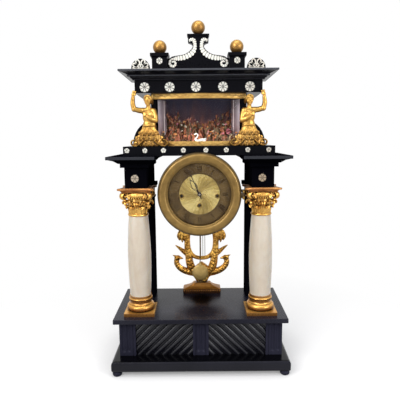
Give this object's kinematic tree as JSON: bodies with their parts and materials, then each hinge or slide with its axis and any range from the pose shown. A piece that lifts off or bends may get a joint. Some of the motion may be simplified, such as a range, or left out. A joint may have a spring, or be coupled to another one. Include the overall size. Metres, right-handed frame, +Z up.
{
  "type": "portico clock",
  "caption": "Ebonised portico mantel clock: drum movement with hinged bezel hung between alabaster columns, pendulum before a gilt lyre, glazed attic with a swan, crest above.",
  "frame": {"origin": "middle of the footprint, on the table plane under the bun feet", "axes": "+X to the right seen from the front, +Y towards the back, +Z up"},
  "size_m": [0.346, 0.206, 0.6734],
  "materials": {
    "ebonised_wood": "black polish, glossy",
    "gilt_wood": "carved, gilded over red ground, satin",
    "alabaster": "polished, faintly veined",
    "mother_of_pearl": "polished nacre",
    "glass": "clear",
    "painted_ground": "painted papier-mache with dried moss and flowers",
    "white_porcelain": "glazed",
    "brass": "fire gilt and polished",
    "silvered_brass": "silvered, aged to brown",
    "blued_steel": "dark blued",
    "steel": "polished"
  },
  "bodies": {
    "case": {"bun_feet": "ebonised_wood", "bottom_board": "ebonised_wood", "base_carcass": "ebonised_wood", "reeded_panels": "ebonised_wood", "fluted_pilasters": "ebonised_wood", "top_board": "ebonised_wood", "rear_post_left": "ebonised_wood", "rear_post_right": "ebonised_wood", "impost_left": "ebonised_wood", "impost_right": "ebonised_wood", "bridge_beam": "ebonised_wood", "vitrine_case": "ebonised_wood", "side_consoles": "ebonised_wood", "attic_frieze": "ebonised_wood", "attic_cornice": "ebonised_wood", "crest_panel": "ebonised_wood", "crest_pedestal_left": "ebonised_wood", "crest_pedestal_right": "ebonised_wood", "antefixes": "ebonised_wood", "column_base_left": "gilt_wood", "column_base_right": "gilt_wood", "capital_left": "gilt_wood", "capital_right": "gilt_wood", "vitrine_rails": "gilt_wood", "caryatid_left": "gilt_wood", "caryatid_right": "gilt_wood", "ball_finials": "gilt_wood", "lyre_frame": "gilt_wood", "lyre_base": "gilt_wood", "column_shaft_left": "alabaster", "column_shaft_right": "alabaster", "pearl_inlays": "mother_of_pearl", "vitrine_glass": "glass", "diorama_ground": "painted_ground", "swan": "white_porcelain", "drum_shell": "brass", "drum_back": "brass", "hinge_pin": "brass", "dial_plate": "brass", "front_plate": "brass", "back_plate": "brass", "spring_barrels": "brass", "going_train": "brass", "suspension_cock": "brass", "lyre_strings": "brass", "chapter_ring": "silvered_brass", "drum_screws": "steel"},
    "bezel": {"bezel": "brass", "bezel_glass": "glass"},
    "minute_work": {"minute_hand": "blued_steel", "cannon_pinion": "steel"},
    "minute_wheel": {"minute_wheel": "brass"},
    "hour_work": {"hour_hand": "blued_steel", "hour_wheel": "brass"},
    "pendulum": {"pendulum_rod": "brass", "pendulum_bob": "brass"},
    "anchor": {"anchor": "steel"},
    "going_arbor": {"going_arbor": "steel"},
    "hour_strike_arbor": {"hour_strike_arbor": "steel"},
    "quarter_strike_arbor": {"quarter_strike_arbor": "steel"}
  },
  "joints": [
    {"name": "bezel_hinge", "type": "hinge", "parent": "case", "child": "bezel", "pos_m": [0.0842, -0.062, 0.3486], "axis": [0, 0, 1], "range_deg": [0, 60]},
    {"name": "minute_turn", "type": "hinge", "parent": "case", "child": "minute_work", "pos_m": [0, -0.05, 0.3486], "axis": [0, 1, 0], "continuous": true},
    {"name": "minute_wheel_turn", "type": "hinge", "parent": "case", "child": "minute_wheel", "pos_m": [0, -0.041, 0.3606], "axis": [0, 1, 0], "continuous": true},
    {"name": "hour_turn", "type": "hinge", "parent": "case", "child": "hour_work", "pos_m": [0, -0.048, 0.3486], "axis": [0, 1, 0], "continuous": true},
    {"name": "pendulum_swing", "type": "hinge", "parent": "case", "child": "pendulum", "pos_m": [0, 0.033, 0.3886], "axis": [0, 1, 0], "range_deg": [-4, 4]},
    {"name": "anchor_rock", "type": "hinge", "parent": "case", "child": "anchor", "pos_m": [0, -0.006, 0.3886], "axis": [0, 1, 0], "range_deg": [-4, 4]},
    {"name": "going_wind", "type": "hinge", "parent": "case", "child": "going_arbor", "pos_m": [0, -0.02, 0.3266], "axis": [0, 1, 0], "range_deg": [0, 1620]},
    {"name": "hour_strike_wind", "type": "hinge", "parent": "case", "child": "hour_strike_arbor", "pos_m": [-0.0347, -0.02, 0.3451], "axis": [0, 1, 0], "range_deg": [0, 1620]},
    {"name": "quarter_strike_wind", "type": "hinge", "parent": "case", "child": "quarter_strike_arbor", "pos_m": [0.0347, -0.02, 0.3451], "axis": [0, 1, 0], "range_deg": [0, 1620]}
  ],
  "couplings": [
    {"joint": "minute_wheel_turn", "follows": "minute_turn", "ratio": -0.33333},
    {"joint": "hour_turn", "follows": "minute_turn", "ratio": 0.083333},
    {"joint": "anchor_rock", "follows": "pendulum_swing", "ratio": 1}
  ]
}
